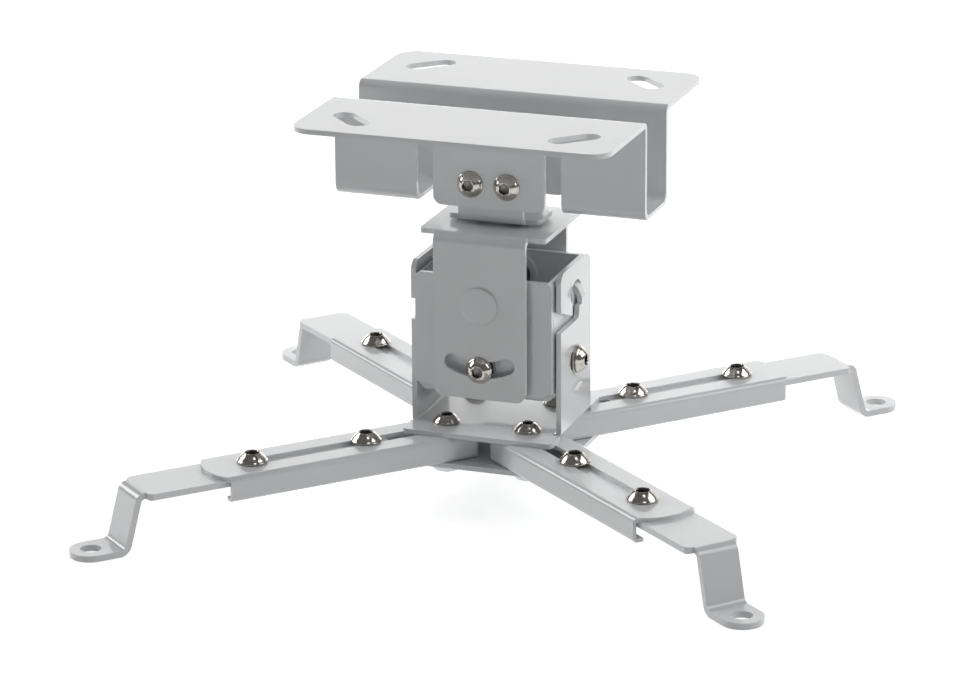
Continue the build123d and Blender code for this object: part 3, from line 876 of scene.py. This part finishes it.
def set_world(scene, settings):
    """A dim room, blended from front to back across its middle, that the camera sees as white."""
    blend = 0.3
    world = bpy.data.worlds.new("studio_room")
    world.use_nodes = True
    tree = world.node_tree
    background = tree.nodes["Background"]
    background.inputs["Color"].default_value = WHITE
    direction = add_node(tree, "ShaderNodeTexCoord")
    parts = add_node(tree, "ShaderNodeSeparateXYZ")
    gradient = add_node(tree, "ShaderNodeMapRange", From_Min=-blend, From_Max=blend,
                        To_Min=settings.front_light, To_Max=settings.back_light)
    path = add_node(tree, "ShaderNodeLightPath")
    strength = add_maths(tree, "MAXIMUM")
    tree.links.new(direction.outputs["Generated"], parts.inputs["Vector"])
    tree.links.new(parts.outputs["Y"], gradient.inputs["Value"])
    tree.links.new(gradient.outputs["Result"], strength.inputs[0])
    tree.links.new(path.outputs["Is Camera Ray"], strength.inputs[1])
    tree.links.new(strength.outputs[0], background.inputs["Strength"])
    scene.world = world


def hang_softbox(scene, name, place, aim, size, power):
    """A rectangular softbox that the camera doesn't see."""
    data = bpy.data.lights.new(name, "AREA")
    data.shape = "RECTANGLE"
    data.size, data.size_y = size
    data.energy = power
    softbox = bpy.data.objects.new(name, data)
    softbox.location = place
    softbox.rotation_euler = (Vector(aim) - Vector(place)).to_track_quat("-Z", "Y").to_euler()
    softbox.visible_camera = False
    scene.collection.objects.link(softbox)


def stand_camera(scene, settings):
    """The camera, where the picture was taken."""
    azimuth, elevation, roll = settings.azimuth, settings.elevation, settings.roll
    back = Vector((
        math.sin(azimuth) * math.cos(elevation),
        -math.cos(azimuth) * math.cos(elevation),
        math.sin(elevation),
    ))
    right = Vector((math.cos(azimuth), math.sin(azimuth), 0.0))
    up = back.cross(right)
    turned_right = math.cos(roll) * right + math.sin(roll) * up
    turned_up = math.cos(roll) * up - math.sin(roll) * right
    data = bpy.data.cameras.new("photo_camera")
    data.sensor_width = settings.sensor_width
    data.lens = settings.lens
    data.clip_end = 50.0
    camera = bpy.data.objects.new("photo_camera", data)
    stand = Matrix((turned_right, turned_up, back)).transposed().to_4x4()
    stand.translation = Vector(settings.target) + back * settings.distance
    camera.matrix_world = stand
    scene.collection.objects.link(camera)
    scene.camera = camera


class MOUNT_OT_stage(Operator):
    """Lay the floor, set the white surroundings and the lamps, and stand the camera"""

    bl_idname = "mount.stage"
    bl_label = "Stage"

    def execute(self, context):
        scene = context.scene
        settings = scene.mount_stage
        lay_floor(settings)
        set_world(scene, settings)
        for name, (place, aim, size, power) in SOFTBOXES.items():
            hang_softbox(scene, name, place, aim, size, getattr(settings, power))
        stand_camera(scene, settings)
        scene.view_settings.view_transform = "Standard"
        return {"FINISHED"}


OPERATORS = (
    MOUNT_OT_painted_sheets,
    MOUNT_OT_small_parts,
    MOUNT_OT_button_screws,
    MOUNT_OT_tilt_rivets,
    MOUNT_OT_hexagon_nuts,
    MOUNT_OT_swivel_bolt,
    MOUNT_OT_stage,
)

SETTINGS = {
    "mount_finish": MountFinishSettings,
    "mount_fasteners": MountFastenerSettings,
    "mount_stage": MountStageSettings,
}


class MOUNT_PT_sidebar(Panel):
    """Lists the pieces of the mount, its stage and its sizes"""

    bl_label = "Projector Mount"
    bl_idname = "MOUNT_PT_sidebar"
    bl_space_type = "VIEW_3D"
    bl_region_type = "UI"
    bl_category = "Mount"

    def draw(self, context):
        for group in SETTINGS:
            settings = getattr(context.scene, group)
            column = self.layout.column(align=True)
            for name in settings.__annotations__:
                column.prop(settings, name)
        column = self.layout.column(align=True)
        for operator in OPERATORS:
            column.operator(operator.bl_idname)


def register():
    for name, group in SETTINGS.items():
        bpy.utils.register_class(group)
        setattr(bpy.types.Scene, name, PointerProperty(type=group))
    for operator in OPERATORS:
        bpy.utils.register_class(operator)
    bpy.utils.register_class(MOUNT_PT_sidebar)


def unregister():
    bpy.utils.unregister_class(MOUNT_PT_sidebar)
    for operator in reversed(OPERATORS):
        bpy.utils.unregister_class(operator)
    for name, group in SETTINGS.items():
        delattr(bpy.types.Scene, name)
        bpy.utils.unregister_class(group)


def main():
    register()
    bpy.ops.mount.painted_sheets()
    bpy.ops.mount.small_parts()
    bpy.ops.mount.button_screws()
    bpy.ops.mount.tilt_rivets()
    bpy.ops.mount.hexagon_nuts()
    bpy.ops.mount.swivel_bolt()
    bpy.ops.mount.stage()


if __name__ == "__main__":
    main()
